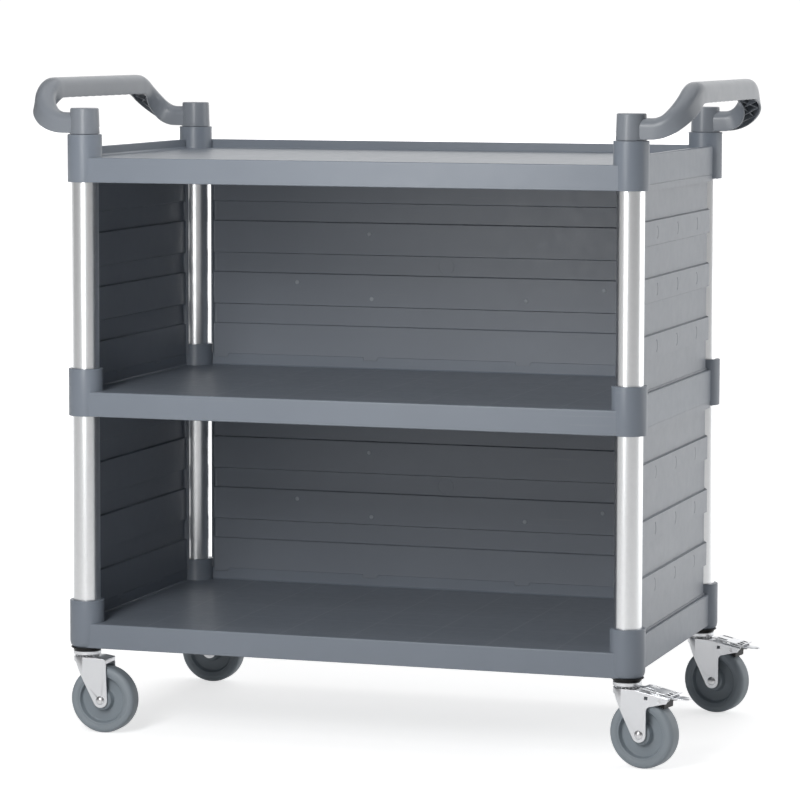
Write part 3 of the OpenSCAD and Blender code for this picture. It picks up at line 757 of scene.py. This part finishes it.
def make_floor():
    """White paper that glows, which is painted light: for the camera it glows more far away and so fades
    the shadows near the trolley, and behind the trolley it glows only in reflections, a painted reflection
    on the metal and plastic.
    """
    grid = bmesh.new()
    bmesh.ops.create_grid(grid, x_segments=1, y_segments=1, size=30)
    mesh = bpy.data.meshes.new("studio_floor")
    grid.to_mesh(mesh)
    grid.free()
    floor = bpy.data.objects.new("studio_floor", mesh)
    bpy.context.scene.collection.objects.link(floor)
    material = bpy.data.materials.new("glowing_studio_paper")
    material.use_nodes = True
    tree = material.node_tree
    where = add(tree, "ShaderNodeTexCoord").outputs["Object"]
    tone = ramp(tree, noise(tree, where, 3.0, 3.0), 0.0, 1.0, 0.78, 0.80)
    shader = tree.nodes["Principled BSDF"]
    tree.links.new(add(tree, "ShaderNodeCombineColor", None, Red=tone, Green=tone,
                       Blue=tone).outputs[0], shader.inputs["Base Color"])
    shader.inputs["Roughness"].default_value = 0.9
    shader.inputs["Emission Color"].default_value = grey(1.0, 1.0, 1.0)
    # Painted light: emission seen by the camera fades the floor's shadows, and emission seen only in
    # reflections behind the trolley is a painted reflection.
    path = add(tree, "ShaderNodeLightPath").outputs
    spread = add(tree, "ShaderNodeVectorMath", {"operation": "LENGTH"}, _0=where).outputs["Value"]
    seen = ramp(tree, spread, 0.7, 2.6, 0.66, 1.3)
    behind = add(tree, "ShaderNodeSeparateXYZ", None, Vector=where).outputs["Y"]
    mirrored = ramp(tree, behind, 0.3, 1.6, 0.42, 1.1)
    glow = maths(tree, "ADD", maths(tree, "MULTIPLY", path["Is Camera Ray"], seen),
                 maths(tree, "MULTIPLY", path["Is Glossy Ray"], mirrored))
    tree.links.new(glow, shader.inputs["Emission Strength"])
    paint(floor, material)


def add_light(name, place, target, size, power):
    """A rectangular soft light aimed at a point."""
    data = bpy.data.lights.new(name, "AREA")
    data.shape = "RECTANGLE"
    data.size, data.size_y = size
    data.energy = power
    light = bpy.data.objects.new(name, data)
    light.location = place
    light.rotation_euler = (Vector(target) - Vector(place)).to_track_quat("-Z", "Y").to_euler()
    bpy.context.scene.collection.objects.link(light)


def make_world():
    """White behind the trolley, and a softer grey surround for what it reflects."""
    world = bpy.data.worlds.new("studio")
    bpy.context.scene.world = world
    world.use_nodes = True
    tree = world.node_tree
    tree.nodes.clear()
    behind = add(tree, "ShaderNodeVectorMath", {"operation": "DOT_PRODUCT"},
                 _0=add(tree, "ShaderNodeTexCoord").outputs["Generated"],
                 _1=(0.10, 0.995, 0.0)).outputs["Value"]
    side = ramp(tree, behind, 0.55, 0.95, 0.12, 1.35)
    surround = add(tree, "ShaderNodeBackground", None, Color=grey(1.0, 1.0, 1.0), Strength=side)
    backdrop = add(tree, "ShaderNodeBackground", None, Color=grey(1.0, 1.0, 1.0), Strength=1.05)
    seen = add(tree, "ShaderNodeLightPath").outputs["Is Camera Ray"]
    mix = add(tree, "ShaderNodeMixShader", None, _0=seen, _1=surround.outputs[0],
              _2=backdrop.outputs[0])
    out = tree.nodes.new("ShaderNodeOutputWorld")
    tree.links.new(mix.outputs[0], out.inputs["Surface"])


def make_camera():
    """Eye a little above the handles, to the right of the open front."""
    data = bpy.data.cameras.new("camera")
    data.lens, data.sensor_width = 165.9, 36.0
    data.shift_y = -0.05
    data.clip_end = 60.0
    camera = bpy.data.objects.new("camera", data)
    camera.location = (1.6947, -5.2494, 1.0482)
    turn, dip, roll = math.radians(17.886), math.radians(5.185), math.radians(0.127)
    camera.rotation_mode = "QUATERNION"
    camera.rotation_quaternion = (
        Matrix.Rotation(turn, 3, "Z") @ Matrix.Rotation(math.pi / 2 - dip, 3, "X")
        @ Matrix.Rotation(roll, 3, "Z")).to_quaternion()
    bpy.context.scene.collection.objects.link(camera)
    bpy.context.scene.camera = camera


make_floor()
make_world()
make_camera()
add_light("key_right", (3.4, 1.3, 1.3), (0.3, 0, 0.5), (2.2, 2.2), 26)
add_light("front_strip", (-0.25, -1.6, 1.25), (-0.05, 0.0, 1.0), (0.35, 1.6), 14)
add_light("front_box", (-0.6, -4.6, 2.7), (0.0, 0.0, 0.4), (1.2, 1.2), 42)
add_light("overhead", (0.2, 0.4, 3.0), (0, 0, 0), (3.0, 2.4), 20)
view_settings = bpy.context.scene.view_settings
view_settings.view_transform = "Standard"
